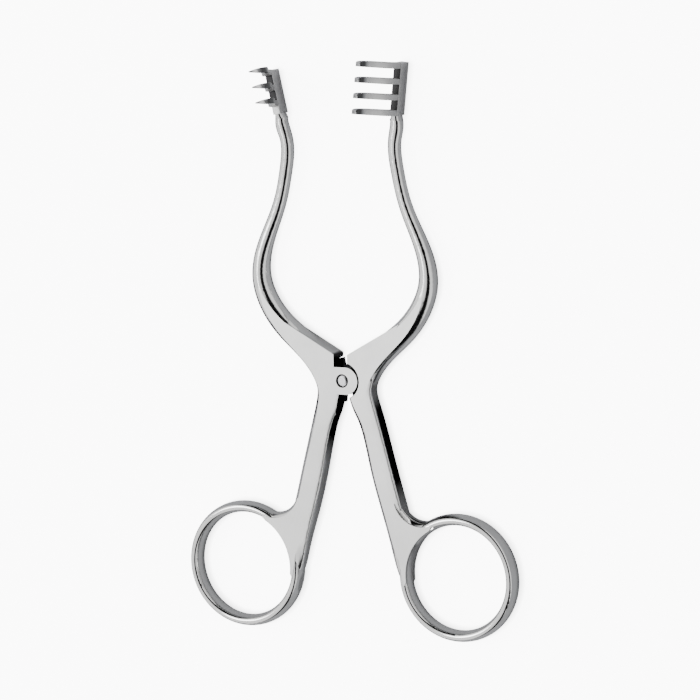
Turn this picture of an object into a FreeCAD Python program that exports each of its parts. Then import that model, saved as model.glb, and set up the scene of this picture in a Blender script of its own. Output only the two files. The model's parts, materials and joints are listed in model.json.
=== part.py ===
import FreeCAD, Part
import math
import os

# Self retaining retractor, 14 cm, with one blade of three sharp prongs and one of four.
# It lies on its back with the prongs up. The long axis is Y, the blades are at +Y and
# the finger rings at -Y. Every part is drawn about the pivot and moved to the middle
# of the whole instrument at the end. Millimetres and degrees.

# Arms, drawn for the right hand side and mirrored for the left
ARM_T = 5.2             # thickness of the forged arms and of the finger rings
SHANK_ANGLE = 15.2      # lean of a shank from the long axis
SHANK_INSET = 0.4       # from the pivot axis to the flat inner side of a shank
SHANK_W = 6.15          # width of a shank at its roundest
SHANK_ROUND = 3.2       # half width of the oval that the shank's outer side is part of
SHANK_OVAL_T = 3.4      # half thickness of that oval, before the faces are ground flat
SHANK_DROP = 0.4        # middle of that oval behind the middle of the arm
RING_BORE = 25.6        # clear opening of a finger ring
RING_BAND = 2.8         # radial size of a ring's oval section
RING_T = 5.0            # its size from back to front
RING_END_R = 0.9        # rounding of its narrow sides
RING_ALONG = 52.8       # from the pivot to the middle of a ring, along the shank
RING_FLAT = 0.25        # how deep the shank's flat side is ground into its ring
WEB_R = 6.0             # hollow curve between a shank and its ring
WEB_BAR = 2.3           # half size of the round bar along that curve
WEB_EDGE = 1.2          # from that curve to the flat plate that fills the corner
RING_TRIM = 0.4         # how far into the ring's band the shank and the plate end
WEB_SINK = 0.3          # how deep that bar is set into both

# Stations of the upper bar: place across, place along, half width, half thickness
WAIST_OUT, WAIST_UP, WAIST_R, WAIST_T = 4.1, -2.0, 3.7, 3.5
CHEEK_OUT, CHEEK_UP, CHEEK_R, CHEEK_T = 9.4, 6.7, 3.3, 3.6
ELBOW_OUT, ELBOW_UP, ELBOW_R, ELBOW_T = 16.6, 12.8, 2.9, 3.0
BULGE_OUT, BULGE_UP, BULGE_R, BULGE_T = 22.7, 25.0, 2.33, 2.45
ARCH_OUT, ARCH_UP, ARCH_R, ARCH_T = 20.3, 35.0, 1.85, 1.95
REACH_OUT, REACH_UP, REACH_R, REACH_T = 16.5, 44.5, 1.62, 1.7
NECK_OUT, NECK_UP, NECK_R, NECK_T = 14.4, 56.0, 1.65, 1.7

# Cheek beside the pivot, where the two arms stand wall to wall
RIGHT_WALL_OUT = 1.5    # from the long axis to the right arm's upright inner wall
LEFT_WALL_OUT = 2.2     # and to the left arm's
WALL_TOP = 6.4          # top of that wall
CHEEK_SLOPE = 29.0      # slope of the cheek's upper side, from the cross axis
CHEEK_END = 15.8        # where that side sinks into the bar, from the long axis

# Blades
RIGHT_LEAN = 7.0        # lean of the right blade from the long axis
LEFT_LEAN = 12.0        # lean of the left blade
BLADE_ROOT_UP = 63.0    # place of the end of the bar along the long axis
BLADE_FOOT = 1.6        # length of the foot that the bar is brazed to
SPINE_W = 2.0           # thickness of a blade's spine
SPINE_D = 4.0           # depth of the spine, from back to front
PRONG_PITCH = 3.78      # from one prong to the next
PRONG_W = 1.45          # width of a prong
PRONG_T = 1.9           # thickness of a prong where it leaves the spine
PRONG_ROOT = 0.5        # how deep a prong starts inside the spine
PRONG_STEP = 2.03       # from one section of a prong to the next
PRONG_LEANS = (0, -16, -30, -34, -32, -21, -1, 26, 50)  # lean at each section: it hooks outwards
PRONG_WIDE = (1, 1, 1, 1, 1, 0.98, 0.9, 0.6, 0)
PRONG_THICK = (1, 0.95, 0.9, 0.85, 0.8, 0.74, 0.64, 0.42, 0)
PRONG_RAKE = 2.8        # lean of a prong towards the tip of the instrument
POINT_W = 0.3           # width and thickness of the point
RIGHT_PRONGS = 4
LEFT_PRONGS = 3

# Lap joint: the left arm's tab lies in front and the right arm's hub behind it
LAP_Z = 2.6             # height of the faces that slide on each other
LAP_GAP = 0.06          # running clearance between them
TURN_GAP = 0.3          # clearance round the parts that turn
TAB_R = 3.3             # round end of the tab
TAB_SHIFT = 0.8         # from the pivot to the middle of that round end
HUB_R = 3.6             # plain part of the hub
SECTOR_R = 5.5          # toothed sector of the hub
SECTOR_Z = 1.4          # back face of the sector
SECTOR_FROM, SECTOR_TO = 100.0, 264.0
DISH_R = 0.2            # broken rim of the recess that the tab turns in

# Pivot screw and nut
SCREW_D = 1.8
SCREW_HEAD_D = 2.7
SCREW_HEAD_H = 0.7
SCREW_DOME = 0.35
SCREW_FIT = 0.05        # radial running fit
NUT_D = 4.4
NUT_H = 0.8
SLOT_W = 0.5            # turning slots in the screw and nut

# Ratchet: saw teeth on the back of the sector, and a rocking lever in the left shank
TOOTH_PITCH = 5.0       # degrees of arm travel for each click
TOOTH_DEPTH = 0.42
NOSE_TOOTH = 0.34       # height of the teeth on the lever's nose
TOOTH_FROM, TOOTH_TO = 185.0, 260.0
TOOTH_IN = 3.9          # inner end of the teeth
NOSE_GAP = 0.12         # from the lifted nose to the tooth tips
LEVER_OFF = 3.0         # middle of the lever, from the pivot axis
LEVER_W = 2.0
LEVER_SIDE = 0.2        # side clearance of the lever in its slot
LEVER_NOSE = 3.4        # from the pivot to the front of the lever's nose, along the shank
LEVER_PIN_ALONG = 11.0  # from the pivot to the lever's pin, along the shank
LEVER_TAIL = 22.0       # from the pivot to the end of the lever
LEVER_SLOT_END = 27.0   # from the pivot to the end of the slot
LEVER_SLOT_D = 3.2      # depth of the slot from the back
LEVER_SINK = 0.15       # lever's back face below the arm's at the pin
LEVER_TAIL_SINK = 1.1   # and at the tail, while the nose is just lifted
LEVER_THICK = 2.1       # lever thickness at the pin
TAIL_THICK = 1.0        # lever thickness at the tail
PIN_D = 1.2
PIN_Z = 1.3
PIN_BLIND = 0.45        # wall left between the pin's end and the inner side
SPRING_T = 0.25
SPRING_W = 1.6
SPRING_TOUCH = 18.0     # where the spring meets the lever, along the shank
SPRING_SCREW_ALONG = 24.6
SPRING_SCREW_D = 1.0
SPRING_SCREW_HEAD_D = 1.8
SPRING_SCREW_HEAD_H = 0.5
SPRING_SCREW_L = 1.2    # length of its thread in the arm

OVAL_POINTS = 12        # points on each section of the forged bar
WEB_POINTS = 16         # straight steps round the plate's hollow side
OVAL_STEP = 4.5         # from one section of the bar to the next
END_PULL = 30.0         # how stiffly the bar's line leaves its two ends
FAR = 200.0

V = FreeCAD.Vector
UP = V(0, 0, 1)
MID = ARM_T / 2
LEAN = math.radians(SHANK_ANGLE)
RING_R = RING_BORE / 2 + RING_BAND
RING_OFF = SHANK_INSET + RING_R - RING_FLAT


def on_shank(along, off, height=0.0):
    "A point beside the right shank: down it from the pivot, and outwards from its line."
    x = along * math.sin(LEAN) + off * math.cos(LEAN)
    y = -along * math.cos(LEAN) + off * math.sin(LEAN)
    return V(x, y, height)


def outward(shape):
    "The solid with its faces pointing outwards."
    solid = Part.Solid(shape.Shells[0])
    if solid.Volume < 0:
        solid.reverse()
    return solid


def polygon(points, height):
    "A prism upwards from a closed outline."
    return outward(Part.Face(Part.makePolygon(points + points[:1])).extrude(UP * height))


def cylinder(radius, low, high, centre=V(0, 0, 0)):
    return Part.makeCylinder(radius, high - low, V(centre.x, centre.y, low))


def mirrored(shape):
    "The same thing on the other side of the long axis."
    return shape.mirror(V(0, 0, 0), V(1, 0, 0))


def oval(centre, across, half_width, half_thickness):
    "A closed oval that stands across the bar."
    points = []
    for i in range(OVAL_POINTS):
        turn = 2 * math.pi * i / OVAL_POINTS
        side = across * (half_width * math.cos(turn))
        points.append(centre + side + UP * (half_thickness * math.sin(turn)))
    curve = Part.BSplineCurve()
    curve.interpolate(Points=points, PeriodicFlag=True)
    return Part.Wire(curve.toShape())


def blade_place(lean):
    "Where a blade starts, the way it runs and the way out from the wound."
    along = V(math.sin(math.radians(lean)), math.cos(math.radians(lean)), 0)
    out = V(along.y, -along.x, 0)
    root = V(NECK_OUT, NECK_UP, MID) + along * ((BLADE_ROOT_UP - NECK_UP) / along.y)
    return root, along, out


def bar_stations(lean):
    "Middle, half width and half thickness of the forged bar, from the ring to the blade."
    core = SHANK_INSET + SHANK_W - SHANK_ROUND
    band = RING_BAND / 2
    stations = [
        (on_shank(RING_ALONG - 2.0, SHANK_INSET + band, MID), band - 0.4, 1.6),
        (on_shank(RING_ALONG - 9.0, core - 0.35, MID), SHANK_ROUND - 0.4, 2.8),
    ]
    for along in (35.0, 22.0, 9.0):
        stations.append((on_shank(along, core, MID - SHANK_DROP), SHANK_ROUND, SHANK_OVAL_T))
    stations += [
        (V(WAIST_OUT, WAIST_UP, MID), WAIST_R, WAIST_T),
        (V(CHEEK_OUT, CHEEK_UP, MID), CHEEK_R, CHEEK_T),
        (V(ELBOW_OUT, ELBOW_UP, MID), ELBOW_R, ELBOW_T),
        (V(BULGE_OUT, BULGE_UP, MID), BULGE_R, BULGE_T),
        (V(ARCH_OUT, ARCH_UP, MID), ARCH_R, ARCH_T),
        (V(REACH_OUT, REACH_UP, MID), REACH_R, REACH_T),
        (V(NECK_OUT, NECK_UP, MID), NECK_R, NECK_T),
        (blade_place(lean)[0], NECK_R, NECK_T),
    ]
    return stations


def through(curve, place):
    "The height of a size curve at a place along the bar."
    low, high = curve.FirstParameter, curve.LastParameter
    for _ in range(40):
        guess = (low + high) / 2
        if curve.value(guess).x < place:
            low = guess
        else:
            high = guess
    return curve.value(low).y


def forged_bar(lean):
    "The bar of one arm: even ovals lofted along one smooth line."
    stations = bar_stations(lean)
    line = Part.BSplineCurve()
    line.interpolate(Points=[s[0] for s in stations],
                     InitialTangent=on_shank(-END_PULL, 0.0),
                     FinalTangent=blade_place(lean)[1] * END_PULL)
    first, last = line.FirstParameter, line.LastParameter
    places = [0.0] + [line.length(first, line.parameter(s[0])) for s in stations[1:]]
    sizes = []
    for which in (1, 2):
        curve = Part.BSplineCurve()
        curve.interpolate(Points=[V(place, s[which], 0) for place, s in zip(places, stations)])
        sizes.append(curve)
    count = int(round(places[-1] / OVAL_STEP))
    wires = []
    for i in range(count + 1):
        place = places[-1] * i / count
        at = line.parameterAtDistance(place, first) if 0 < i < count else (last if i else first)
        across = line.tangent(at)[0].cross(UP)
        wires.append(oval(line.value(at), across, through(sizes[0], place), through(sizes[1], place)))
    return outward(Part.makeLoft(wires, True, False, False, 5))


def finger_ring():
    "A ring about its own axis. Its oval section is four arcs that run into each other."
    w, h, r = RING_BAND / 2, RING_T / 2, RING_END_R
    side = (w ** 2 + (h - r) ** 2 - r ** 2) / (2 * (w - r))
    meet = math.atan2(h - r, side - w)
    join_out, join_up = w - side + side * math.cos(meet), side * math.sin(meet)
    x = RING_BORE / 2 + w
    corners = [(x + join_out, join_up), (x, h), (x - join_out, join_up), (x - w, 0),
               (x - join_out, -join_up), (x, -h), (x + join_out, -join_up), (x + w, 0)]
    points = [V(a, 0, b) for a, b in corners]
    points.append(points[0])
    arcs = [Part.Arc(*points[0:3]), Part.Arc(*points[2:5]), Part.Arc(*points[4:7]),
            Part.Arc(points[6], points[7], points[8])]
    section = Part.Face(Part.Wire([arc.toShape() for arc in arcs]))
    ring = outward(section.revolve(V(0, 0, 0), UP, 360))
    ring.translate(on_shank(RING_ALONG, RING_OFF, MID))
    return ring


def corner_web():
    "The hollow blend between the outer side of a shank and the top of its ring."
    web_off = SHANK_INSET + SHANK_W + WEB_R - WEB_SINK
    reach = RING_R + WEB_R - WEB_SINK
    web_along = RING_ALONG - math.sqrt(reach ** 2 - (RING_OFF - web_off) ** 2)
    middle = on_shank(web_along, web_off, MID)
    to_ring = on_shank(RING_ALONG, RING_OFF, MID) - middle
    to_shank = on_shank(web_along, 0, MID) - middle
    start = math.degrees(math.atan2(to_shank.y, to_shank.x))
    sweep = (math.degrees(math.atan2(to_ring.y, to_ring.x)) - start) % 360
    bar = Part.makeTorus(WEB_R + WEB_BAR, WEB_BAR, V(0, 0, 0), UP, -180, 180, sweep)
    bar.rotate(V(0, 0, 0), UP, start)
    bar.translate(middle)
    foot = V(middle.x, middle.y, 0)
    points = []
    for i in range(WEB_POINTS + 1):
        turn = math.radians(start + sweep * i / WEB_POINTS)
        points.append(foot + V(math.cos(turn), math.sin(turn), 0) * (WEB_R + WEB_EDGE))
    points += [on_shank(RING_ALONG - 1.0, SHANK_INSET + RING_BAND / 2),
               on_shank(web_along, SHANK_INSET + SHANK_W / 2)]
    return bar, polygon(points, ARM_T)


def cheek_block(wall_out):
    "The thick corner that stands beside the pivot, with an upright wall."
    slope = math.tan(math.radians(CHEEK_SLOPE))
    low = -ARM_T
    points = [V(wall_out - 2, -2, low), V(wall_out - 2, WALL_TOP - 2 * slope, low),
              V(CHEEK_END, WALL_TOP + (CHEEK_END - wall_out) * slope, low),
              V(CHEEK_OUT, CHEEK_UP, low), V(WAIST_OUT, WAIST_UP, low)]
    return polygon(points, 3 * ARM_T)


def inner_side(wall_out):
    "What is ground away between the arms: it leaves the flat side and the upright wall."
    low = on_shank(FAR, SHANK_INSET)
    high = on_shank(TAB_R / math.cos(LEAN), SHANK_INSET)
    points = [low, high, V(wall_out, TAB_R, 0), V(wall_out, FAR / 8, 0),
              V(-FAR, FAR / 8, 0), V(-FAR, low.y, 0)]
    return polygon(points, ARM_T)


def ground_arm(lean, wall_out):
    "One arm before its joint is cut: forged bar, ring and cheek, ground flat."
    slab = Part.makeBox(2 * FAR, 2 * FAR, ARM_T, V(-FAR, -FAR, 0))
    arm = forged_bar(lean).fuse(cheek_block(wall_out)).common(slab)
    arm = arm.cut(inner_side(wall_out))
    ring = finger_ring().cut(inner_side(wall_out))
    bar, plate = corner_web()
    hole = cylinder(RING_BORE / 2 + RING_TRIM, 0, ARM_T, on_shank(RING_ALONG, RING_OFF))
    return arm.fuse([plate, bar]).cut(hole).fuse(ring)


def sector(radius, low, high, start, end):
    "A slice of a disc between two angles."
    slice_ = Part.makeCylinder(radius, high - low, V(0, 0, low), UP, end - start)
    slice_.rotate(V(0, 0, 0), UP, start)
    return slice_


def saw_groove(angle, depth, side_gap, top_gap):
    "One radial saw cut, steep on one side: its outline stands on the tooth circle."
    step = math.radians(TOOTH_PITCH)
    wide = SECTOR_R * step - side_gap
    near = TOOTH_IN - 0.01
    far = SECTOR_R + 1.0
    tip = SECTOR_Z + depth
    base = SECTOR_Z - top_gap
    wires = []
    for r in (near, far):
        span = (r / SECTOR_R) * wide
        wires.append(Part.makePolygon([V(r, 0, base), V(r, span, base), V(r, 0, tip), V(r, 0, base)]))
    groove = outward(Part.makeLoft(wires, True, True))
    groove.rotate(V(0, 0, 0), UP, angle)
    return groove


def tooth_angles():
    count = int(round((TOOTH_TO - TOOTH_FROM) / TOOTH_PITCH))
    return [TOOTH_FROM + i * TOOTH_PITCH for i in range(count)]


def make_right_arm():
    "The moving arm: its hub lies behind the tab and carries the ratchet teeth."
    ground = ground_arm(RIGHT_LEAN, RIGHT_WALL_OUT)
    reach = TAB_SHIFT + TAB_R + TURN_GAP
    arm = ground.cut(cylinder(reach, LAP_Z - LAP_GAP, ARM_T))
    dish = Part.makeCone(reach, reach + DISH_R, DISH_R, V(0, 0, ARM_T - DISH_R))
    arm = arm.cut(dish)
    top = LAP_Z - LAP_GAP
    arm = arm.cut(cylinder(SECTOR_R, 0, SECTOR_Z))
    arm = arm.fuse([cylinder(HUB_R, 0, top), sector(SECTOR_R, SECTOR_Z, top, SECTOR_FROM, SECTOR_TO)])
    back = cylinder(SECTOR_R, 0, SECTOR_Z).cut(cylinder(HUB_R, 0, SECTOR_Z))
    right_half = Part.makeBox(FAR, FAR, SECTOR_Z, V(0, -FAR / 2, 0))
    arm = arm.fuse(back.common(right_half).common(ground))
    grooves = [saw_groove(a, TOOTH_DEPTH, 0.0, 0.05) for a in tooth_angles()]
    arm = arm.cut(grooves)
    arm = arm.cut(cylinder(SCREW_D / 2 + SCREW_FIT, 0, ARM_T))
    return arm.cut(cylinder(NUT_D / 2 + TURN_GAP / 2, 0, NUT_H + LAP_GAP))


def shank_box(along_from, along_to, off_from, off_to, low, high):
    "A box that lies along the right shank."
    corners = [on_shank(along_from, off_from, low), on_shank(along_to, off_from, low),
               on_shank(along_to, off_to, low), on_shank(along_from, off_to, low)]
    return polygon(corners, high - low)


def shank_pin(along, off_from, off_to, height, radius):
    "A round pin across the right shank."
    axis = on_shank(0, 1)
    return Part.makeCylinder(radius, off_to - off_from, on_shank(along, off_from, height), axis)


def make_left_arm():
    "The fixed arm: it carries the tab, the screw, and the lever's slot in its back."
    arm = mirrored(ground_arm(LEFT_LEAN, LEFT_WALL_OUT))
    arm = arm.cut(cylinder(SECTOR_R + TURN_GAP, 0, LAP_Z))
    tab_h = ARM_T - LAP_Z
    root = LEFT_WALL_OUT + 2
    neck_of_tab = Part.makeBox(root + TAB_SHIFT, 2 * TAB_R, tab_h, V(-root, -TAB_R, LAP_Z))
    arm = arm.fuse([neck_of_tab, cylinder(TAB_R, LAP_Z, ARM_T, V(TAB_SHIFT, 0, 0))])
    half_slot = LEVER_W / 2 + LEVER_SIDE
    slot = shank_box(2.0, LEVER_SLOT_END, LEVER_OFF - half_slot, LEVER_OFF + half_slot, 0, LEVER_SLOT_D)
    slot = slot.cut(cylinder(SECTOR_R + TURN_GAP, LAP_Z, ARM_T))
    pin_from = SHANK_INSET + PIN_BLIND
    pin = shank_pin(LEVER_PIN_ALONG, pin_from, SHANK_INSET + SHANK_W, PIN_Z, PIN_D / 2)
    screw_hole = cylinder(SPRING_SCREW_D / 2, LEVER_SLOT_D, LEVER_SLOT_D + SPRING_SCREW_L,
                          on_shank(SPRING_SCREW_ALONG, LEVER_OFF))
    arm = arm.cut([mirrored(slot), mirrored(pin), mirrored(screw_hole)])
    arm = arm.cut(cylinder(SCREW_D / 2, LAP_Z, ARM_T))
    return arm.cut(cylinder(SCREW_HEAD_D / 2 + SCREW_FIT, ARM_T - SCREW_HEAD_H, ARM_T))


def prong_line():
    "Places down one prong's middle line, outwards and up from the middle of the spine."
    out, high = 0.0, SPINE_D / 2 - PRONG_ROOT
    places = [(out, high)]
    for lean, following in zip(PRONG_LEANS, PRONG_LEANS[1:]):
        mean = math.radians((lean + following) / 2)
        out += PRONG_STEP * math.sin(mean)
        high += PRONG_STEP * math.cos(mean)
        places.append((out, high))
    return places


def prong(root, blade_dir, blade_out, place):
    "One prong, tapering to its point, at a place along the blade."
    rake = math.tan(math.radians(PRONG_RAKE))
    wires = []
    for (out, high), lean, wide, thick in zip(prong_line(), PRONG_LEANS, PRONG_WIDE, PRONG_THICK):
        half_w = (POINT_W + (PRONG_W - POINT_W) * wide) / 2
        half_t = (POINT_W + (PRONG_T - POINT_W) * thick) / 2
        middle = root + blade_dir * (place + high * rake) + blade_out * out + UP * high
        turn = math.radians(lean)
        face = blade_out * math.cos(turn) - UP * math.sin(turn)
        corners = [middle + blade_dir * (a * half_w) + face * (b * half_t)
                   for a, b in ((-1, -1), (1, -1), (1, 1), (-1, 1))]
        wires.append(Part.makePolygon(corners + corners[:1]))
    return outward(Part.makeLoft(wires, True, False))


def make_blade(lean, count, first):
    "A blade: a brazed foot, a spine and its prongs."
    root, blade_dir, blade_out = blade_place(lean)
    last = first + (count - 1) * PRONG_PITCH
    spine_end = last + PRONG_W / 2
    foot_top = root + blade_dir * BLADE_FOOT
    spine_top = root + blade_dir * spine_end
    signs = [(-1, -1), (1, -1), (1, 1), (-1, 1)]

    def slice_at(middle):
        corners = [middle + blade_out * (a * SPINE_W / 2) + UP * (b * SPINE_D / 2) for a, b in signs]
        return Part.makePolygon(corners + corners[:1])

    spine = outward(Part.makeLoft([slice_at(foot_top - blade_dir * 0.4), slice_at(spine_top)], True, True))
    foot = outward(Part.makeLoft([oval(root, blade_out, NECK_R, NECK_T),
                                  oval(foot_top, blade_out, SPINE_W / 2, SPINE_D / 2)], True, True))
    prongs = [prong(root, blade_dir, blade_out, first + i * PRONG_PITCH) for i in range(count)]
    return spine.fuse([foot] + prongs).removeSplitter()


def make_pivot_screw():
    "Domed screw: its head sinks into the tab and its shaft is the hub's bearing."
    shaft = cylinder(SCREW_D / 2, 0, ARM_T - SCREW_HEAD_H)
    head = cylinder(SCREW_HEAD_D / 2, ARM_T - SCREW_HEAD_H, ARM_T)
    ball_r = ((SCREW_HEAD_D / 2) ** 2 + SCREW_DOME ** 2) / (2 * SCREW_DOME)
    ball = Part.makeSphere(ball_r, V(0, 0, ARM_T + SCREW_DOME - ball_r - 0.2))
    head = head.common(ball)
    return shaft.fuse(head).removeSplitter()


def make_pivot_nut():
    "Round slotted nut, flush in the back of the hub."
    nut = cylinder(NUT_D / 2, 0, NUT_H).cut(cylinder(SCREW_D / 2, 0, NUT_H))
    slot = Part.makeBox(NUT_D, SLOT_W, NUT_H / 2, V(-NUT_D / 2, -SLOT_W / 2, 0))
    return nut.cut(slot)


def lever_outline():
    "Side view of the lever: places along the shank and heights."
    nose_top = SECTOR_Z - NOSE_GAP - NOSE_TOOTH
    nose_back = nose_top - 0.6
    pin_front = LEVER_SINK + LEVER_THICK
    return [(LEVER_NOSE, nose_back), (LEVER_NOSE, nose_top), (6.1, nose_top), (7.2, pin_front),
            (LEVER_PIN_ALONG + 1.5, pin_front), (LEVER_TAIL, LEVER_TAIL_SINK + TAIL_THICK),
            (LEVER_TAIL, LEVER_TAIL_SINK), (LEVER_PIN_ALONG, LEVER_SINK), (6.5, nose_back)]


def make_release_lever():
    "The rocking lever: toothed nose over the sector, pin in the middle, finger pad on its tail."
    outline = [on_shank(a, LEVER_OFF - LEVER_W / 2, h) for a, h in lever_outline()]
    across = on_shank(0, LEVER_W)
    lever = Part.Face(Part.makePolygon(outline + outline[:1])).extrude(across)
    lever = mirrored(lever)
    tooth_band = cylinder(SECTOR_R, 0, SECTOR_Z)
    tooth_band = tooth_band.cut(cylinder(TOOTH_IN + 0.15, 0, ARM_T))
    half = LEVER_W / 2
    nose = mirrored(shank_box(LEVER_NOSE, 5.6, LEVER_OFF - half, LEVER_OFF + half, 0, ARM_T))
    tooth_band = tooth_band.common(nose)
    teeth = []
    for angle in tooth_angles():
        tooth = saw_groove(angle, NOSE_TOOTH, 0.1, 0.05)
        tooth.translate(UP * -(NOSE_GAP + NOSE_TOOTH))
        tooth = tooth.common(tooth_band)
        if tooth.Volume > 0.005:
            teeth.append(tooth)
    lever = lever.fuse(teeth)
    pin = shank_pin(LEVER_PIN_ALONG, 0, 2 * LEVER_OFF, PIN_Z, PIN_D / 2 + SCREW_FIT)
    lever = lever.cut(mirrored(pin))
    ribs = []
    for i in range(4):
        along = LEVER_TAIL - 1.0 - i * 1.1
        height = LEVER_TAIL_SINK - (LEVER_TAIL - along) * 0.08
        rib = shank_pin(along, 0, 2 * LEVER_OFF, height - 0.15, 0.3)
        ribs.append(mirrored(rib))
    return lever.cut(ribs).removeSplitter()


def make_lever_pin():
    pin_from = SHANK_INSET + PIN_BLIND
    return mirrored(shank_pin(LEVER_PIN_ALONG, pin_from, SHANK_INSET + SHANK_W - 0.25, PIN_Z, PIN_D / 2))


def make_leaf_spring():
    "Flat spring from its screw on the slot's floor to the back of the lever's tail."
    floor = LEVER_SLOT_D
    fall = (LEVER_TAIL_SINK + TAIL_THICK - LEVER_SINK - LEVER_THICK) / (LEVER_TAIL - LEVER_PIN_ALONG - 1.5)
    touch_h = LEVER_SINK + LEVER_THICK + fall * (SPRING_TOUCH - LEVER_PIN_ALONG - 1.5)
    end = SPRING_SCREW_ALONG + 1.2
    bend = SPRING_SCREW_ALONG - 1.4
    outline = [(end, floor), (end, floor - SPRING_T), (bend, floor - SPRING_T),
               (SPRING_TOUCH, touch_h + 0.02), (SPRING_TOUCH, touch_h + 0.02 + SPRING_T), (bend, floor)]
    points = [on_shank(a, LEVER_OFF - SPRING_W / 2, h) for a, h in outline]
    strip = Part.Face(Part.makePolygon(points + points[:1])).extrude(on_shank(0, SPRING_W))
    hole = cylinder(SPRING_SCREW_D / 2, 0, ARM_T, on_shank(SPRING_SCREW_ALONG, LEVER_OFF))
    return mirrored(strip.cut(hole))


def make_spring_screw():
    place = on_shank(SPRING_SCREW_ALONG, LEVER_OFF)
    seat = LEVER_SLOT_D - SPRING_T
    head = cylinder(SPRING_SCREW_HEAD_D / 2, seat - SPRING_SCREW_HEAD_H, seat, place)
    thread = cylinder(SPRING_SCREW_D / 2, seat, LEVER_SLOT_D + SPRING_SCREW_L, place)
    slot = Part.makeBox(SPRING_SCREW_HEAD_D, 0.35, 0.25)
    slot.translate(V(place.x - SPRING_SCREW_HEAD_D / 2, place.y - 0.175, seat - SPRING_SCREW_HEAD_H))
    return mirrored(head.fuse(thread).cut(slot).removeSplitter())


def main():
    first_right = BLADE_FOOT + 0.2
    parts = {
        "left_arm": make_left_arm(),
        "right_arm": make_right_arm(),
        "right_blade": make_blade(RIGHT_LEAN, RIGHT_PRONGS, first_right),
        "left_blade": mirrored(make_blade(LEFT_LEAN, LEFT_PRONGS, first_right + PRONG_PITCH / 2)),
        "pivot_screw": make_pivot_screw(),
        "pivot_nut": make_pivot_nut(),
        "release_lever": make_release_lever(),
        "lever_pin": make_lever_pin(),
        "leaf_spring": make_leaf_spring(),
        "spring_screw": make_spring_screw(),
    }
    box = Part.Compound(list(parts.values())).optimalBoundingBox()
    middle = (box.YMin + box.YMax) / 2
    print("size", round(box.XLength, 2), round(box.YLength, 2), round(box.ZLength, 2))
    print("low corner", round(box.XMin, 3), round(box.YMin, 3), round(box.ZMin, 3))
    print("pivot along", round(-middle, 4))
    os.makedirs("parts", exist_ok=True)
    for name, shape in parts.items():
        shape.translate(V(0, -middle, 0))
        print(name, shape.ShapeType, len(shape.Solids), shape.isValid(), round(shape.Volume, 2))
        shape.exportStep("parts/" + name + ".step")


main()
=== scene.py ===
import json
import math

import bmesh
import bpy
from bpy.props import FloatProperty, FloatVectorProperty, IntProperty, PointerProperty
from bpy.types import Operator, Panel, PropertyGroup
from mathutils import Matrix, Vector


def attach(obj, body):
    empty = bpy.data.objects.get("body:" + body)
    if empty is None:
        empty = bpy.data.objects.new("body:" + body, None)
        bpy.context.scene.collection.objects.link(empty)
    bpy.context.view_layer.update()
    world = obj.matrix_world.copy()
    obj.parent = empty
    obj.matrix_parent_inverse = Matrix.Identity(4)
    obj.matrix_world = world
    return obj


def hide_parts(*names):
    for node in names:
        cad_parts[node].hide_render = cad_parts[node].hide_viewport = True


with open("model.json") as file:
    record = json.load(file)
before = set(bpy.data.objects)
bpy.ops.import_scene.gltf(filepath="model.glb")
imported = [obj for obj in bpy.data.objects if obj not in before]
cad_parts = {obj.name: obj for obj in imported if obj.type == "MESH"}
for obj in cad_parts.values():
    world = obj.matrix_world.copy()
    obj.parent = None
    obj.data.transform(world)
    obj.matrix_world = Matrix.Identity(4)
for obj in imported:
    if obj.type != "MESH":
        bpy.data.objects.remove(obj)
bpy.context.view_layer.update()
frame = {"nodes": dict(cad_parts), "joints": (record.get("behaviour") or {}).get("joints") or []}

bl_info = {
    "name": "Self Retaining Retractor",
    "version": (1, 0, 0),
    "blender": (4, 5, 0),
    "location": "View3D > Sidebar > Retractor",
    "description": "Steel finishes, pronged blades and studio for a self retaining retractor",
    "category": "Object",
}

MM = 0.001
PIVOT = Vector(frame["joints"][0]["pos_m"])
ARMS = ("left_arm", "right_arm")
BACK_Z, FRONT_Z = 0.0, 5.2 * MM  # back and front faces of the arms
LEVEL, FACE_REACH = 0.985, 0.05 * MM  # a face is ground if it is this level and this near one of the two

# Form of the blades, the same as in the CAD source. A prong is given from its root to its point.
NECK_OUT, NECK_UP, BLADE_ROOT_UP = 14.4 * MM, 56.0 * MM, 63.0 * MM
NECK_R, NECK_T = 1.65 * MM, 1.7 * MM
RIGHT_LEAN, LEFT_LEAN = 7.0, 12.0
PRONG_ROOT, PRONG_STEP = 0.5 * MM, 2.03 * MM
PRONG_LEANS = (0, -16, -30, -34, -32, -21, -1, 26, 50)
PRONG_WIDE = (1, 1, 1, 1, 1, 0.98, 0.9, 0.6, 0)
PRONG_THICK = (1, 0.95, 0.9, 0.85, 0.8, 0.74, 0.64, 0.42, 0)
PRONG_RAKE = math.tan(math.radians(2.8))
FIRST_PRONG = 0.2 * MM  # the right blade's first prong beyond the foot
FOOT_LAP = 0.4 * MM  # how far the spine reaches back into the foot
PRONG_SUBSTEPS, CORNER_STEPS, FOOT_POINTS = 6, 3, 40
CREASE = math.radians(35)  # edges sharper than this are shaded as edges

# Marks of the blades' faces: how far they are ground satin, and how far they are painted black as shade or as
# a dark reflection
SATIN, POLISHED = (1.0, 0.0), (0.0, 0.0)
HOOK_FROM, HOOK_TO, HOOK_FADE = 0.58, 0.86, 0.08  # the bend of the hook along a prong
# How dark the painted reflection at the hooks' bends is, and the painted shade between the prongs and below
# the first one
HOOK_PAINTED_DARK, SPINE_PAINTED_SHADE, ROOT_PAINTED_SHADE = 0.85, 0.97, 0.3

# Painted shade in the joint: its middle above the pivot, its reach, its soft border and how ragged that is
JOINT_SHADE_UP, JOINT_SHADE_R, JOINT_SHADE_FADE, JOINT_SHADE_RAGGED = 0.6 * MM, 7.5 * MM, 0.4 * MM, 2.4 * MM
HEAD_R, HEAD_SHADOW_RING = 1.53 * MM, 0.14 * MM  # radius of the pivot screw's head, and the width of the painted shadow ring round it
LAP_Z = 0.75 * FRONT_Z  # the lap faces lie below this

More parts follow.
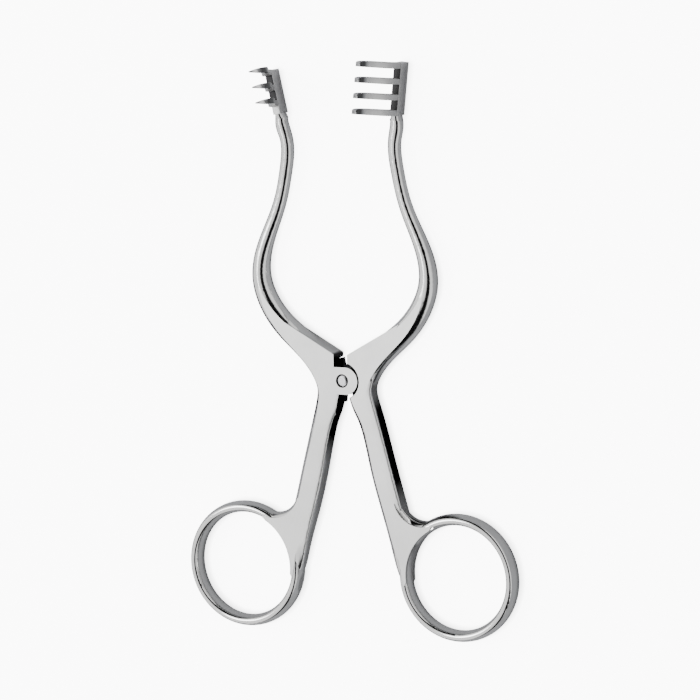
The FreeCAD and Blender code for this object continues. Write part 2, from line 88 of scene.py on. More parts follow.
# Where the long edges of the shanks are crisp. Each pair is where that starts or ends and is complete.
EDGE_TILT = (0.40, 0.70)  # upward part of the normal, from side to front
SHANK_LEAN = math.radians(15.2)
SHANK_TOP, SHANK_FOOT = (-5.0 * MM, -1.0 * MM), (42.0 * MM, 50.0 * MM)  # down the shank from the pivot
SHANK_OUT = (7.2 * MM, 8.0 * MM)  # outwards across the shank
NOT_BACK, NOT_LEFT = (-0.3, -0.2), (-0.1, 0.05)  # upward and rightward parts of the normal

# Steel: its grinding lines, drawn coarser than the real ones so that they show, and clouds of wear
# about 11 mm across, and how both shade and roughen it
LINE_STRETCH, LINE_DETAIL = 0.06, 3.0
CLOUD_SCALE, CLOUD_DETAIL = 90.0, 5.0
LINE_SHADE, SHADE_FROM, SHADE_TO = 0.6, 0.45, 1.15
LINE_ROUGH, BUMP = 0.10, 0.5
# Black of the painted shade in the joint and between the prongs, and of the painted dark reflection at the
# hooks' bends
PAINTED_SHADE_BLACK = "#0B0B0D"

# Studio: the lit table, the painted grey and black that only reflections see on it, the tent and the soft
# light
TABLE_HALF, TABLE_Z, TABLE_GLOW = 3.0, -0.4 * MM, 9.0
CONTACT_SHADE, CONTACT_SAMPLES = 1.6 * MM, 12
REFLECTED_GREY, REFLECTED_SLANT, REFLECTED_SPAN = "#A8A9AC", (0.47, 1.0, 0.0), (-0.045, 0.015)
REFLECTED_RIGHT = (0.021, 0.027)  # where the painted reflections pass into plain grey on the right
TENT_AXIS, SKY_POWER = (-0.822, -0.195, 0.535), 2.2
KEY_PLACE, KEY_SIZE, KEY_POWER = (-0.60, 0.25, 0.95), 0.5, 8.0

# Camera of the photo: its axes, its aim in mm from the pivot's foot, its distance and its lens
VIEW_RIGHT, VIEW_UP = (0.88430, -0.02664, -0.46616), (-0.03834, 0.99086, -0.12935)
VIEW_BACK, VIEW_AIM, VIEW_AWAY = (0.46535, 0.13226, 0.87519), (-0.699, 6.750, -0.648), 1.0
LENS_PX, PHOTO_PX, SENSOR = 4130, 700, 36.0


# ---------------------------------------------------------------- sizes and colours


def linear(hex_colour):
    """A colour given as sRGB hex, as linear red, green, blue and alpha."""
    values = [int(hex_colour[i : i + 2], 16) / 255 for i in (1, 3, 5)]
    return [v / 12.92 if v <= 0.04045 else ((v + 0.055) / 1.055) ** 2.4 for v in values] + [1.0]


class BladeSizes(PropertyGroup):
    """Sizes of the pronged blades, the same as in the CAD source."""

    pitch: FloatProperty(
        name="Prong pitch", description="From one prong to the next", default=3.78 * MM, unit="LENGTH"
    )
    prong_width: FloatProperty(
        name="Prong width",
        description="Width of a prong along the blade",
        default=1.45 * MM,
        unit="LENGTH",
    )
    prong_depth: FloatProperty(
        name="Prong depth",
        description="Thickness of a prong at the spine",
        default=1.9 * MM,
        unit="LENGTH",
    )
    point: FloatProperty(
        name="Point", description="Width and thickness of a point", default=0.3 * MM, unit="LENGTH"
    )
    spine_width: FloatProperty(
        name="Spine width", description="Thickness of the spine", default=2.0 * MM, unit="LENGTH"
    )
    spine_depth: FloatProperty(
        name="Spine depth",
        description="Depth of the spine, back to front",
        default=4.0 * MM,
        unit="LENGTH",
    )
    foot: FloatProperty(
        name="Foot", description="Length of the foot brazed to the bar", default=1.6 * MM, unit="LENGTH"
    )
    edge: FloatProperty(
        name="Broken edge", description="Rounding of the blade's edges", default=0.13 * MM, unit="LENGTH"
    )
    left_prongs: IntProperty(name="Left prongs", description="Prongs of the left blade", default=3, min=1)
    right_prongs: IntProperty(name="Right prongs", description="Prongs of the right blade", default=4, min=1)


class SteelFinish(PropertyGroup):
    """Colours and finish of the steel."""

    satin: FloatVectorProperty(
        name="Satin steel",
        description="Colour of the ground faces",
        subtype="COLOR",
        default=linear("#C5C5C4")[:3],
    )
    satin_roughness: FloatProperty(
        name="Satin roughness",
        description="Roughness of the ground faces",
        default=0.34,
        min=0.0,
        max=1.0,
        subtype="FACTOR",
    )
    polish_roughness: FloatProperty(
        name="Polish roughness",
        description="Roughness of the polished sides",
        default=0.08,
        min=0.0,
        max=1.0,
        subtype="FACTOR",
    )


# ---------------------------------------------------------------- nodes


def add_node(tree, kind, settings=None, inputs=None):
    """Adds a node, sets its settings and fills or links its inputs."""
    node = tree.nodes.new(kind)
    for name, value in (settings or {}).items():
        setattr(node, name, value)
    for key, value in (inputs or {}).items():
        if isinstance(value, bpy.types.NodeSocket):
            tree.links.new(value, node.inputs[key])
        else:
            node.inputs[key].default_value = value
    return node


def fill_ramp(node, stops):
    """Sets the stops of a colour ramp, each a place and a hex colour."""
    ramp = node.color_ramp
    while len(ramp.elements) < len(stops):
        ramp.elements.new(0.5)
    for element, (place, colour) in zip(ramp.elements, stops):
        element.position = place
        element.color = linear(colour)


def new_material(name):
    """An empty node material with its output, and the two as a pair."""
    material = bpy.data.materials.new(name)
    material.use_nodes = True
    material.node_tree.nodes.clear()
    output = material.node_tree.nodes.new("ShaderNodeOutputMaterial")
    return material, output


# ---------------------------------------------------------------- steel


def painted_joint_shade(tree, place, ground, cloud):
    """How black the steel is painted as shade: in the joint, with a ragged border, and as a painted shadow
    ring round the screw head.
    """

    def from_pivot(up):
        middle = (PIVOT.x, PIVOT.y + up, 0)
        away = add_node(tree, "ShaderNodeVectorMath", {"operation": "SUBTRACT"}, {0: place, 1: middle})
        flat = add_node(
            tree, "ShaderNodeVectorMath", {"operation": "MULTIPLY"}, {0: away.outputs[0], 1: (1, 1, 0)}
        )
        length = add_node(tree, "ShaderNodeVectorMath", {"operation": "LENGTH"}, {0: flat.outputs[0]})
        return length.outputs["Value"]

    ragged = add_node(
        tree,
        "ShaderNodeMath",
        {"operation": "MULTIPLY_ADD"},
        {0: cloud, 1: JOINT_SHADE_RAGGED, 2: from_pivot(JOINT_SHADE_UP)},
    )
    near = add_node(
        tree,
        "ShaderNodeMapRange",
        inputs={0: ragged.outputs[0], 1: JOINT_SHADE_R, 2: JOINT_SHADE_R + JOINT_SHADE_FADE, 3: 1.0, 4: 0.0},
    )
    inside = add_node(
        tree, "ShaderNodeMath", {"operation": "SUBTRACT", "use_clamp": True}, {0: near.outputs[0], 1: ground}
    )
    head_shadow = add_node(
        tree, "ShaderNodeMath", {"operation": "COMPARE"}, {0: from_pivot(0), 1: HEAD_R, 2: HEAD_SHADOW_RING}
    )
    both = {0: inside.outputs[0], 1: head_shadow.outputs[0]}
    return add_node(tree, "ShaderNodeMath", {"operation": "MAXIMUM"}, both).outputs[0]


def crisp_edges(tree, place):
    """Normals of the shanks with their long edges nearly sharp, and how far each spot is ground by that."""
    normal = add_node(tree, "ShaderNodeNewGeometry").outputs["Normal"]
    parts = add_node(tree, "ShaderNodeSeparateXYZ", inputs={0: normal}).outputs
    tilt = {0: parts[2], 1: EDGE_TILT[0], 2: EDGE_TILT[1]}
    level = add_node(tree, "ShaderNodeMapRange", inputs=tilt).outputs[0]
    # Both shanks are measured as if they were the right one, across it and down it.
    spot = add_node(tree, "ShaderNodeVectorMath", {"operation": "SUBTRACT"}, {0: place, 1: PIVOT})
    spot = add_node(tree, "ShaderNodeSeparateXYZ", inputs={0: spot.outputs[0]}).outputs
    sideways = add_node(tree, "ShaderNodeMath", {"operation": "ABSOLUTE"}, {0: spot[0]})
    spot = add_node(tree, "ShaderNodeCombineXYZ", inputs={0: sideways.outputs[0], 1: spot[1]}).outputs[0]
    lean = (math.cos(SHANK_LEAN), math.sin(SHANK_LEAN))
    across, down = (
        add_node(tree, "ShaderNodeVectorMath", {"operation": "DOT_PRODUCT"}, {0: spot, 1: way}).outputs[1]
        for way in ((lean[0], lean[1], 0), (lean[1], -lean[0], 0))
    )
    shank = 1.0
    for value, (start, end), (low, high) in (
        (down, SHANK_TOP, (0.0, 1.0)),
        (down, SHANK_FOOT, (1.0, 0.0)),
        (across, SHANK_OUT, (1.0, 0.0)),
        (parts[2], NOT_BACK, (0.0, 1.0)),
        (parts[0], NOT_LEFT, (0.0, 1.0)),
    ):
        limit = add_node(
            tree, "ShaderNodeMapRange", inputs={0: value, 1: start, 2: end, 3: low, 4: high}
        )
        limited = {0: shank, 1: limit.outputs[0]}
        shank = add_node(tree, "ShaderNodeMath", {"operation": "MULTIPLY"}, limited).outputs[0]
    flat = add_node(tree, "ShaderNodeCombineXYZ", inputs={0: parts[0], 1: parts[1]})
    flat = add_node(tree, "ShaderNodeVectorMath", {"operation": "NORMALIZE"}, {0: flat.outputs[0]})
    upright = add_node(tree, "ShaderNodeMath", {"operation": "SUBTRACT"}, {0: 1.0, 1: level})
    side = add_node(
        tree,
        "ShaderNodeVectorMath",
        {"operation": "SCALE"},
        {0: flat.outputs[0], "Scale": upright.outputs[0]},
    )
    front = add_node(tree, "ShaderNodeCombineXYZ", inputs={2: level})
    sharp = add_node(
        tree, "ShaderNodeVectorMath", {"operation": "ADD"}, {0: side.outputs[0], 1: front.outputs[0]}
    )
    sharp = add_node(tree, "ShaderNodeVectorMath", {"operation": "NORMALIZE"}, {0: sharp.outputs[0]})
    mixed = add_node(
        tree, "ShaderNodeMix", {"data_type": "VECTOR"}, {0: shank, 4: normal, 5: sharp.outputs[0]}
    )
    mixed = add_node(tree, "ShaderNodeVectorMath", {"operation": "NORMALIZE"}, {0: mixed.outputs[1]})
    ground = add_node(tree, "ShaderNodeMath", {"operation": "MULTIPLY"}, {0: shank, 1: level})
    return mixed.outputs[0], ground.outputs[0]


def steel(name, colour, roughness, grain, depth, shade=0.14, polished=None, joint=False):
    """Stainless steel with fine grinding lines along the piece and faint cloudy wear.

    grain and depth are the width and the depth of the lines, in metres. polished is the roughness where
    the attribute ground_face is 0, and the attribute painted_dark blackens the piece with painted shade and
    painted dark reflections. With joint, the long edges are crisp and the place in the joint says where shade
    is painted black."""
    material, output = new_material(name)
    tree = material.node_tree
    place = add_node(tree, "ShaderNodeTexCoord").outputs["Object"]
    grit = add_node(tree, "ShaderNodeMapping", inputs={0: place, 3: (1, LINE_STRETCH, 1)}).outputs[0]
    lines = add_node(
        tree, "ShaderNodeTexNoise", inputs={0: grit, "Scale": 1 / grain, "Detail": LINE_DETAIL}
    ).outputs[0]
    cloud = add_node(
        tree, "ShaderNodeTexNoise", inputs={0: place, "Scale": CLOUD_SCALE, "Detail": CLOUD_DETAIL}
    ).outputs[0]
    mixed = add_node(
        tree, "ShaderNodeMath", {"operation": "MULTIPLY_ADD"}, {0: lines, 1: LINE_SHADE, 2: cloud}
    )
    worn = add_node(
        tree, "ShaderNodeMapRange", inputs={0: mixed.outputs[0], 1: SHADE_FROM, 2: SHADE_TO}
    ).outputs[0]
    dark = [c * (1 - shade) for c in colour[:3]] + [1.0]
    light = [min(1.0, c * (1 + shade)) for c in colour[:3]] + [1.0]
    tone = add_node(tree, "ShaderNodeMix", {"data_type": "RGBA"}, {0: worn, 6: dark, 7: light}).outputs[2]
    if polished is not None:
        ground = add_node(tree, "ShaderNodeAttribute", {"attribute_name": "ground_face"}).outputs["Fac"]
        if joint:
            normal, sharpened = crisp_edges(tree, place)
            either = {0: ground, 1: sharpened}
            satin = add_node(tree, "ShaderNodeMath", {"operation": "MAXIMUM"}, either).outputs[0]
            height = add_node(tree, "ShaderNodeSeparateXYZ", inputs={0: place}).outputs[2]
            high = add_node(tree, "ShaderNodeMath", {"operation": "GREATER_THAN"}, {0: height, 1: LAP_Z})
            front = add_node(
                tree, "ShaderNodeMath", {"operation": "MULTIPLY"}, {0: high.outputs[0], 1: satin}
            )
            free_of_painted_shade = add_node(
                tree, "ShaderNodeMath", {"operation": "MAXIMUM"}, {0: ground, 1: front.outputs[0]}
            )
            # Painted shade: black in the joint, off the ground faces, and a painted shadow ring round the
            # screw head
            painted_dark = painted_joint_shade(tree, place, free_of_painted_shade.outputs[0], cloud)
        else:
            satin = ground
            painted_dark = add_node(tree, "ShaderNodeAttribute", {"attribute_name": "painted_dark"}).outputs["Fac"]
        finish = {0: satin, 3: polished, 4: roughness}
        roughness = add_node(tree, "ShaderNodeMapRange", inputs=finish).outputs[0]
        blackened = {0: painted_dark, 6: tone, 7: linear(PAINTED_SHADE_BLACK)}
        tone = add_node(tree, "ShaderNodeMix", {"data_type": "RGBA"}, blackened).outputs[2]
    rough = add_node(
        tree, "ShaderNodeMath", {"operation": "MULTIPLY_ADD"}, {0: lines, 1: LINE_ROUGH, 2: roughness}
    )
    bump = add_node(tree, "ShaderNodeBump", inputs={"Height": lines, "Distance": depth, "Strength": BUMP})
    if joint:
        tree.links.new(normal, bump.inputs["Normal"])
    shader = add_node(
        tree,
        "ShaderNodeBsdfPrincipled",
        inputs={
            "Base Color": tone,
            "Metallic": 1.0,
            "Roughness": rough.outputs[0],
            "Normal": bump.outputs[0],
        },
    )
    tree.links.new(shader.outputs[0], output.inputs[0])
    return material


def dress(node, material):
    """Gives a CAD node one material."""
    piece = frame["nodes"][node]
    piece.data.materials.clear()
    piece.data.materials.append(material)
    return piece


def mark_ground_faces(piece):
    """Marks the front and back faces that were ground flat, so that they can differ from the sides."""
    marks = []
    for face in piece.data.polygons:
        gap = min(abs(face.center.z - height) for height in (BACK_Z, FRONT_Z))
        marks.append(float(abs(face.normal.z) > LEVEL and gap < FACE_REACH))
    piece.data.attributes.new("ground_face", "FLOAT", "FACE").data.foreach_set("value", marks)


# ---------------------------------------------------------------- blades


def join_meshes(*meshes):
    """One mesh out of several."""
    bm = bmesh.new()
    for mesh in meshes:
        bm.from_mesh(mesh)
    joined = bpy.data.meshes.new(meshes[0].name)
    bm.to_mesh(joined)
    bm.free()
    return joined


def blade_place(lean, side):
    """From the blade's own axes (out of the wound, along the blade, up) to its place on the bar's end."""
    along = Vector((math.sin(math.radians(lean)), math.cos(math.radians(lean)), 0))
    out = Vector((along.y, -along.x, 0))
    root = Vector((NECK_OUT, NECK_UP, 0)) + along * ((BLADE_ROOT_UP - NECK_UP) / along.y)
    root += Vector((0, PIVOT.y, (BACK_Z + FRONT_Z) / 2))
    place = Matrix((out, along, Vector((0, 0, 1)))).transposed().to_4x4()
    place.translation = root
    return Matrix.Diagonal((side, 1, 1, 1)) @ place


def rounded_section(half_w, half_t, edge):
    """Corner points of a rectangle with rounded corners, as pairs of places across and through it."""
    radius = min(edge, 0.6 * half_w, 0.6 * half_t)
    points = []
    for corner, (a, b) in enumerate(((1, 1), (-1, 1), (-1, -1), (1, -1))):
        for step in range(CORNER_STEPS + 1):
            turn = math.radians(90 * corner + 90 * step / CORNER_STEPS)
            across = a * (half_w - radius) + radius * math.cos(turn)
            through = b * (half_t - radius) + radius * math.sin(turn)
            points.append((across, through))
    return points


def skin(mesh_name, sections, marks):
    """A closed mesh through sections with equal numbers of points, and marks for each stretch between two."""
    bm = bmesh.new()
    ground = bm.faces.layers.float.new("ground_face")
    painted_dark = bm.faces.layers.float.new("painted_dark")
    rows = [[bm.verts.new(p) for p in section] for section in sections]
    count = len(rows[0])
    for row, following, mark in zip(rows, rows[1:], marks):
        for i in range(count):
            j = (i + 1) % count
            face = bm.faces.new((row[i], row[j], following[j], following[i]))
            face[ground], face[painted_dark] = mark
    for row in (rows[0], rows[-1]):
        bm.faces.new(row)
    bmesh.ops.recalc_face_normals(bm, faces=bm.faces)
    for face in bm.faces:
        face.smooth = True
    for edge in bm.edges:
        edge.smooth = edge.calc_face_angle(0.0) < CREASE
    mesh = bpy.data.meshes.new(mesh_name)
    bm.to_mesh(mesh)
    bm.free()
    return mesh


def curve_value(p, q, r, s, t):
    """A value on the Catmull-Rom curve from q to r, whose neighbours are p and s."""
    return 0.5 * (
        2 * q + (r - p) * t + (2 * p - 5 * q + 4 * r - s) * t**2 + (3 * q - p - 3 * r + s) * t**3
    )


def prong_sections(sizes):
    """Sections of one prong, from inside the spine to its point, in the blade's own axes."""
    out, high = 0.0, sizes.spine_depth / 2 - PRONG_ROOT
    places = [(out, high)]
    for lean, following in zip(PRONG_LEANS, PRONG_LEANS[1:]):
        mean = math.radians((lean + following) / 2)
        out += PRONG_STEP * math.sin(mean)
        high += PRONG_STEP * math.cos(mean)
        places.append((out, high))
    stations = [
        (*place, math.radians(lean), wide, thick)
        for place, lean, wide, thick in zip(places, PRONG_LEANS, PRONG_WIDE, PRONG_THICK)
    ]
    last = len(stations) - 1
    sections = []
    for i in range(last):
        around = [stations[max(0, min(last, i + k))] for k in (-1, 0, 1, 2)]
        steps = PRONG_SUBSTEPS + (1 if i == last - 1 else 0)
        for step in range(steps):
            t = step / PRONG_SUBSTEPS
            out, high, turn, wide, thick = (curve_value(*four, t) for four in zip(*around))
            half_w = (sizes.point + (sizes.prong_width - sizes.point) * min(1.0, wide)) / 2
            half_t = (sizes.point + (sizes.prong_depth - sizes.point) * min(1.0, thick)) / 2
            section = []
            for across, through in rounded_section(half_w, half_t, sizes.edge):
                x = out + math.cos(turn) * through
                z = high - math.sin(turn) * through
                section.append((x, high * PRONG_RAKE + across, z))
            sections.append(section)
    return sections


def hook_marks(count):
    """Marks along a prong: satin up to the hook, which is polished, with a painted dark reflection at its
    bend.
    """
    marks = []
    for i in range(count):
        place = i / count
        dark = min((place - HOOK_FROM) / HOOK_FADE, (HOOK_TO - place) / HOOK_FADE)
        marks.append((1.0 if place < HOOK_FROM else 0.0, HOOK_PAINTED_DARK * min(1.0, max(0.0, dark))))
    return marks


def spine_sections(sizes, first, end):
    """Sections of the spine and of the foot that is brazed to the bar."""
    box = rounded_section(sizes.spine_width / 2, sizes.spine_depth / 2, sizes.edge)
    spine = [[(x, y, z) for x, z in box] for y in (sizes.foot - FOOT_LAP, first, end)]
    foot = []
    turns = [2 * math.pi * i / FOOT_POINTS for i in range(FOOT_POINTS)]
    for y, half_w, half_t in (
        (0.0, NECK_R, NECK_T),
        (sizes.foot, sizes.spine_width / 2, sizes.spine_depth / 2),
    ):
        foot.append([(half_w * math.cos(t), y, half_t * math.sin(t)) for t in turns])
    return spine, foot


def comb_nodes():
    """Geometry nodes that set a prong along the spine again and again."""
    tree = bpy.data.node_groups.new("Comb of prongs", "GeometryNodeTree")
    for name, kind in (
        ("Spine", "NodeSocketGeometry"),
        ("Prong", "NodeSocketObject"),
        ("Prongs", "NodeSocketInt"),
        ("First", "NodeSocketFloat"),
        ("Pitch", "NodeSocketFloat"),
        ("Steel", "NodeSocketMaterial"),
    ):
        tree.interface.new_socket(name, in_out="INPUT", socket_type=kind)
    tree.interface.new_socket("Blade", in_out="OUTPUT", socket_type="NodeSocketGeometry")
    given = add_node(tree, "NodeGroupInput").outputs
    first = add_node(tree, "ShaderNodeCombineXYZ", inputs={1: given["First"]}).outputs[0]
    pitch = add_node(tree, "ShaderNodeCombineXYZ", inputs={1: given["Pitch"]}).outputs[0]
    row = {"Count": given["Prongs"], "Start Location": first, "Offset": pitch}
    line = add_node(tree, "GeometryNodeMeshLine", inputs=row)
    prong = add_node(tree, "GeometryNodeObjectInfo", inputs={"Object": given["Prong"]})
    copied = {"Points": line.outputs[0], "Instance": prong.outputs["Geometry"]}
    copies = add_node(tree, "GeometryNodeInstanceOnPoints", inputs=copied)
    joined = add_node(tree, "GeometryNodeJoinGeometry", inputs={0: given["Spine"]})
    tree.links.new(copies.outputs[0], joined.inputs[0])
    real = add_node(tree, "GeometryNodeRealizeInstances", inputs={0: joined.outputs[0]})
    paint = {"Geometry": real.outputs[0], "Material": given["Steel"]}
    painted = add_node(tree, "GeometryNodeSetMaterial", inputs=paint)
    add_node(tree, "NodeGroupOutput", inputs={0: painted.outputs[0]})
    return tree


def grown(piece, tree, values):
    """The mesh that geometry nodes make of a piece, with these values for their inputs."""
    modifier = piece.modifiers.new("comb", "NODES")
    modifier.node_group = tree
    for item in tree.interface.items_tree:
        if item.in_out == "INPUT" and item.name in values:
            modifier[item.identifier] = values[item.name]
    bpy.context.view_layer.update()
    graph = bpy.context.evaluated_depsgraph_get()
    mesh = bpy.data.meshes.new_from_object(piece.evaluated_get(graph))
    piece.modifiers.clear()
    return mesh


# ---------------------------------------------------------------- studio


def lit_table():
    """The table's material: white acrylic lit from below.

    Rays reflected off the steel see it painted grey round the piece and black between the shanks: painted
    reflections that stand in for shade."""
    material, output = new_material("Lit White Acrylic")
    tree = material.node_tree
    ray = add_node(tree, "ShaderNodeLightPath").outputs
    place = add_node(tree, "ShaderNodeTexCoord").outputs["Object"]
    slant = add_node(tree, "ShaderNodeVectorMath", {"operation": "DOT_PRODUCT"}, {0: place, 1: REFLECTED_SLANT})
    span = add_node(
        tree, "ShaderNodeMapRange", inputs={0: slant.outputs["Value"], 1: REFLECTED_SPAN[0], 2: REFLECTED_SPAN[1]}
    )
    # Painted reflection: grey round the piece and black between the shanks, seen only by rays reflected off
    # the steel
    painted_reflection = add_node(tree, "ShaderNodeValToRGB", inputs={0: span.outputs[0]})
    fill_ramp(
        painted_reflection,
        ((0.0, REFLECTED_GREY), (0.22, "#98999C"), (0.34, "#060608"), (0.60, "#060608"), (0.70, "#B8B9BC")),
    )
    white = add_node(tree, "ShaderNodeBsdfDiffuse", inputs={"Color": linear("#F4F4F4")})
    glow = add_node(
        tree, "ShaderNodeMath", {"operation": "MULTIPLY"}, {0: ray["Is Camera Ray"], 1: TABLE_GLOW}
    )
    # The piece shades the lit table just beneath itself.
    shade = add_node(
        tree, "ShaderNodeAmbientOcclusion", {"samples": CONTACT_SAMPLES}, {"Distance": CONTACT_SHADE}
    )
    seen = add_node(
        tree, "ShaderNodeMath", {"operation": "MULTIPLY"}, {0: glow.outputs[0], 1: shade.outputs["AO"]}
    )
    lit = add_node(
        tree, "ShaderNodeEmission", inputs={"Color": linear("#FFFFFF"), "Strength": seen.outputs[0]}
    )
    table = add_node(tree, "ShaderNodeAddShader", inputs={0: white.outputs[0], 1: lit.outputs[0]})
    across = add_node(tree, "ShaderNodeSeparateXYZ", inputs={0: place})
    beside = add_node(
        tree, "ShaderNodeMapRange", inputs={0: across.outputs[0], 1: REFLECTED_RIGHT[0], 2: REFLECTED_RIGHT[1]}
    )
    reflected_tone = add_node(
        tree,
        "ShaderNodeMix",
        {"data_type": "RGBA"},
        {0: beside.outputs[0], 6: painted_reflection.outputs[0], 7: linear(REFLECTED_GREY)},
    )
    grey = add_node(tree, "ShaderNodeBsdfDiffuse", inputs={"Color": reflected_tone.outputs[2]})
    mix = add_node(
        tree,
        "ShaderNodeMixShader",
        inputs={0: ray["Is Glossy Ray"], 1: table.outputs[0], 2: grey.outputs[0]},
    )
    tree.links.new(mix.outputs[0], output.inputs[0])
    return material


def light_tent():
    """Bright on the left and overhead, the dark lens opening above, a strip light at the far right."""
    world = bpy.data.worlds.new("Studio")
    world.use_nodes = True
    tree = world.node_tree
    tree.nodes.clear()
    output = tree.nodes.new("ShaderNodeOutputWorld")
    way = add_node(tree, "ShaderNodeTexCoord").outputs["Generated"]
    side = add_node(tree, "ShaderNodeVectorMath", {"operation": "DOT_PRODUCT"}, {0: way, 1: TENT_AXIS})
    span = add_node(tree, "ShaderNodeMapRange", inputs={0: side.outputs["Value"], 1: -1.0, 2: 1.0})
    tent = add_node(tree, "ShaderNodeValToRGB", inputs={0: span.outputs[0]})
    fill_ramp(
        tent,
        (
            (0.08, "#8C8C8E"),
            (0.22, "#E8E8E8"),
            (0.34, "#E8E8E8"),
            (0.39, "#040405"),
            (0.66, "#040405"),
            (0.72, "#D0D0D0"),
            (0.80, "#F0F0F0"),
            (1.00, "#F0F0F0"),
        ),
    )
    sky = {"Color": tent.outputs[0], "Strength": SKY_POWER}
    back = add_node(tree, "ShaderNodeBackground", inputs=sky)
    tree.links.new(back.outputs[0], output.inputs[0])
    return world


def soft_light(name, place, size, power):
    """A square lamp that looks at the piece."""
    data = bpy.data.lights.new(name, "AREA")
    data.shape = "SQUARE"
    data.size = size
    data.energy = power
    lamp = bpy.data.objects.new(name, data)
    lamp.location = place
    lamp.rotation_euler = (-Vector(place)).to_track_quat("-Z", "Y").to_euler()
    return lamp


def photo_camera():
    """The camera where the photo was taken from."""
    data = bpy.data.cameras.new("camera")
    data.sensor_width = SENSOR
    data.lens = LENS_PX / PHOTO_PX * SENSOR
    data.clip_start = 0.05
    data.clip_end = 20.0
    camera = bpy.data.objects.new("camera", data)
    right, up, back = Vector(VIEW_RIGHT), Vector(VIEW_UP), Vector(VIEW_BACK)
    target = Vector((PIVOT.x, PIVOT.y, 0)) + Vector(VIEW_AIM) * MM
    matrix = Matrix((right, up, back)).transposed().to_4x4()
    matrix.translation = target + back * VIEW_AWAY
    camera.matrix_world = matrix
    return camera


# ---------------------------------------------------------------- steps


class RETRACTOR_OT_arms(Operator):
    """Gives the forged arms their satin faces and polished sides"""

    bl_idname = "retractor.arms"
    bl_label = "Forged Arms"

    def execute(self, context):
        finish = context.scene.retractor_finish
        # Forged stainless steel: faces ground satin with a fine belt, sides and rings polished bright.
        material = steel(
            "Ground Stainless Steel",
            finish.satin,
            finish.satin_roughness,
            grain=0.10 * MM,
            depth=0.004 * MM,
            polished=finish.polish_roughness,
            joint=True,
        )
        for node in ARMS:
            mark_ground_faces(dress(node, material))
        return {"FINISHED"}


class RETRACTOR_OT_blades(Operator):
    """Builds the two pronged blades"""

    bl_idname = "retractor.blades"
    bl_label = "Pronged Blades"

    def execute(self, context):
        sizes = context.scene.retractor_blade
        finish = context.scene.retractor_finish
        # Stainless steel cut to a comb, belt ground, with the hooks polished, a painted dark reflection at
        # their bends and painted shade between the prongs.
        material = steel(
            "Fine Satin Stainless Steel",
            finish.satin,
            finish.satin_roughness,
            grain=0.08 * MM,
            depth=0.003 * MM,
            polished=finish.polish_roughness,
        )
        tree = comb_nodes()
        sections = prong_sections(sizes)
        prong = bpy.data.objects.new("prong", skin("prong", sections, hook_marks(len(sections))))
        first_right = sizes.foot + FIRST_PRONG
        for side, count, first, lean, body in (
            ("right", sizes.right_prongs, first_right, RIGHT_LEAN, "moving_arm"),
            ("left", sizes.left_prongs, first_right + sizes.pitch / 2, LEFT_LEAN, "fixed_arm"),
        ):
            end = first + (count - 1) * sizes.pitch + sizes.prong_width / 2
            spine, foot = spine_sections(sizes, first, end)
            spine = skin(side + "_spine", spine, [SATIN] * 2)
            painted_dark = spine.attributes["painted_dark"].data
            # Painted shade on the spine's front: black between the prongs, grey below the first prong
            for face in spine.polygons:
                if face.normal.z > 0.9:
                    painted_dark[face.index].value = SPINE_PAINTED_SHADE if face.center.y > first else ROOT_PAINTED_SHADE
            mesh = join_meshes(spine, skin(side + "_foot", foot, [POLISHED]))
            blade = bpy.data.objects.new(side + "_comb", mesh)
            context.scene.collection.objects.link(blade)
            values = {"Prong": prong, "Prongs": count, "First": first}
            values.update({"Pitch": sizes.pitch, "Steel": material})
            blade.data = grown(blade, tree, values)
            blade.data.transform(blade_place(lean, -1 if side == "left" else 1))
            if side == "left":
                blade.data.flip_normals()
            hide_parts(side + "_blade")
            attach(blade, body)
        bpy.data.objects.remove(prong)
        return {"FINISHED"}


class RETRACTOR_OT_pivot(Operator):
    """Polishes the screw and nut of the joint"""

    bl_idname = "retractor.pivot"
    bl_label = "Pivot Screw and Nut"

    def execute(self, context):
        # Turned stainless steel, polished bright on a mop.
        material = steel(
            "Polished Stainless Steel", linear("#D3D4D6"), 0.14, grain=0.12 * MM, depth=0.002 * MM, shade=0.05
        )
        for node in ("pivot_screw", "pivot_nut", "lever_pin", "spring_screw"):
            dress(node, material)
        return {"FINISHED"}


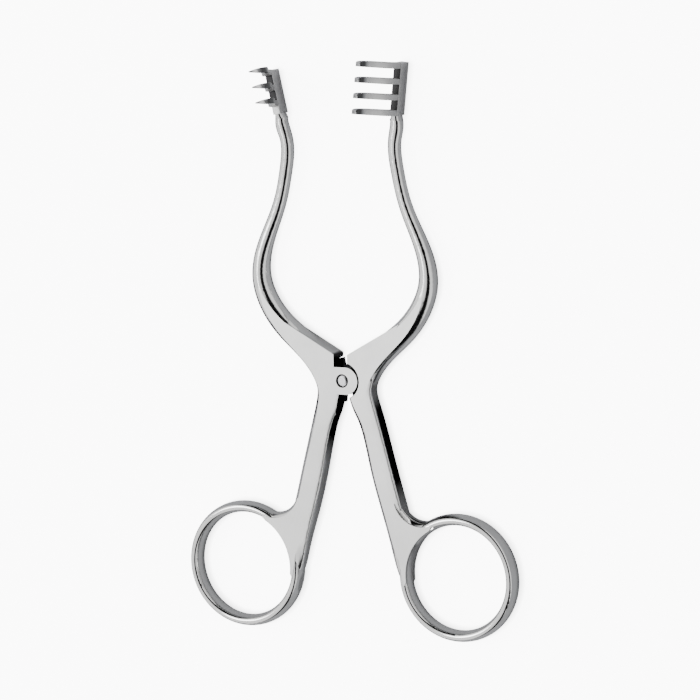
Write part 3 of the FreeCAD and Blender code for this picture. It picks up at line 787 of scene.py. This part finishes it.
class RETRACTOR_OT_lock(Operator):
    """Gives the release lever and its spring their steel"""

    bl_idname = "retractor.lock"
    bl_label = "Release Lever"

    def execute(self, context):
        # Hardened stainless steel, surface ground.
        lever = steel("Ground Lever Steel", linear("#C9CACC"), 0.3, grain=0.1 * MM, depth=0.004 * MM)
        dress("release_lever", lever)
        # Cold rolled spring steel strip, slightly blue from hardening.
        strip = steel("Rolled Spring Steel", linear("#9EA3AB"), 0.24, grain=0.08 * MM, depth=0.002 * MM)
        dress("leaf_spring", strip)
        return {"FINISHED"}


class RETRACTOR_OT_studio(Operator):
    """Adds the floor, the soft lights and the camera"""

    bl_idname = "retractor.studio"
    bl_label = "Studio"

    def execute(self, context):
        scene = context.scene
        mesh = bpy.data.meshes.new("studio_floor")
        corners = [(x * TABLE_HALF, y * TABLE_HALF, TABLE_Z) for x, y in ((-1, -1), (1, -1), (1, 1), (-1, 1))]
        mesh.from_pydata(corners, [], [(0, 1, 2, 3)])
        mesh.materials.append(lit_table())
        floor = bpy.data.objects.new("studio_floor", mesh)
        scene.collection.objects.link(floor)
        scene.world = light_tent()
        scene.collection.objects.link(soft_light("key_softbox", KEY_PLACE, KEY_SIZE, KEY_POWER))
        camera = photo_camera()
        scene.collection.objects.link(camera)
        scene.camera = camera
        return {"FINISHED"}


class RETRACTOR_PT_panel(Panel):
    """Lists the steps that make the retractor"""

    bl_idname = "RETRACTOR_PT_panel"
    bl_label = "Retractor"
    bl_space_type = "VIEW_3D"
    bl_region_type = "UI"
    bl_category = "Retractor"

    def draw(self, context):
        for group in (context.scene.retractor_blade, context.scene.retractor_finish):
            for name in group.__annotations__:
                self.layout.prop(group, name)
        for step in STEPS:
            self.layout.operator(step.bl_idname)


STEPS = (
    RETRACTOR_OT_arms,
    RETRACTOR_OT_blades,
    RETRACTOR_OT_pivot,
    RETRACTOR_OT_lock,
    RETRACTOR_OT_studio,
)
CLASSES = (BladeSizes, SteelFinish, RETRACTOR_PT_panel) + STEPS


def register():
    for cls in CLASSES:
        bpy.utils.register_class(cls)
    bpy.types.Scene.retractor_blade = PointerProperty(type=BladeSizes)
    bpy.types.Scene.retractor_finish = PointerProperty(type=SteelFinish)


def unregister():
    del bpy.types.Scene.retractor_finish
    del bpy.types.Scene.retractor_blade
    for cls in reversed(CLASSES):
        bpy.utils.unregister_class(cls)


def main():
    register()
    for step in STEPS:
        group, name = step.bl_idname.split(".")
        getattr(getattr(bpy.ops, group), name)()


if __name__ == "__main__":
    main()
